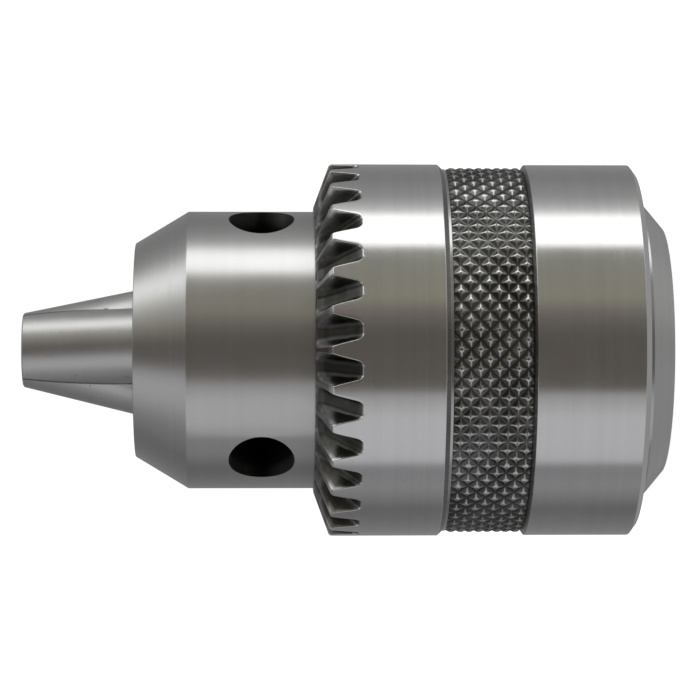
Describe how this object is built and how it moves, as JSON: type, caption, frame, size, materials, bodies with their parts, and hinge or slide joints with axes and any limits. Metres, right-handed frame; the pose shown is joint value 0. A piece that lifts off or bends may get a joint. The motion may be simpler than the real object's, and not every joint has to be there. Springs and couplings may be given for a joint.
{
  "type": "drill chuck",
  "caption": "Keyed three-jaw drill chuck: knurled sleeve with bevel key teeth, nose with key pilot holes, threaded spindle socket, jaws driven by a split nut.",
  "frame": {"origin": "centre of the flat rear face, where the spindle enters", "axes": "+Z along the spindle axis from the rear face to the jaws; jaw 1 lies towards -Y"},
  "size_m": [0.046, 0.046, 0.0789],
  "materials": {
    "body_steel": "fine-turned steel with circumferential tool marks",
    "sleeve_steel": "turned and knurled steel, darkened in the knurl and between the teeth",
    "jaw_steel": "ground hardened steel",
    "nut_steel": "dark hardened steel, lightly oiled"
  },
  "bodies": {
    "chuck_body": {"chuck_body": "body_steel"},
    "sleeve_and_nut": {"sleeve": "sleeve_steel", "nut_half_a": "nut_steel", "nut_half_b": "nut_steel"},
    "jaw_1": {"jaw_1": "jaw_steel"},
    "jaw_2": {"jaw_2": "jaw_steel"},
    "jaw_3": {"jaw_3": "jaw_steel"}
  },
  "joints": [
    {"name": "sleeve_turn", "type": "hinge", "parent": "chuck_body", "child": "sleeve_and_nut", "pos_m": [0, 0, 0.038], "axis": [0, 0, 1], "range_deg": [0, 3477.31]},
    {"name": "jaw_1_slide", "type": "slide", "parent": "chuck_body", "child": "jaw_1", "axis": [0, -0.2588, -0.9659], "range_m": [0, 0.02415]},
    {"name": "jaw_2_slide", "type": "slide", "parent": "chuck_body", "child": "jaw_2", "axis": [0.2241, 0.1294, -0.9659], "range_m": [0, 0.02415]},
    {"name": "jaw_3_slide", "type": "slide", "parent": "chuck_body", "child": "jaw_3", "axis": [-0.2241, 0.1294, -0.9659], "range_m": [0, 0.02415]}
  ],
  "couplings": [
    {"joint": "jaw_1_slide", "follows": "sleeve_turn", "m_per_rad": 0.00039789},
    {"joint": "jaw_2_slide", "follows": "sleeve_turn", "m_per_rad": 0.00039789},
    {"joint": "jaw_3_slide", "follows": "sleeve_turn", "m_per_rad": 0.00039789}
  ]
}
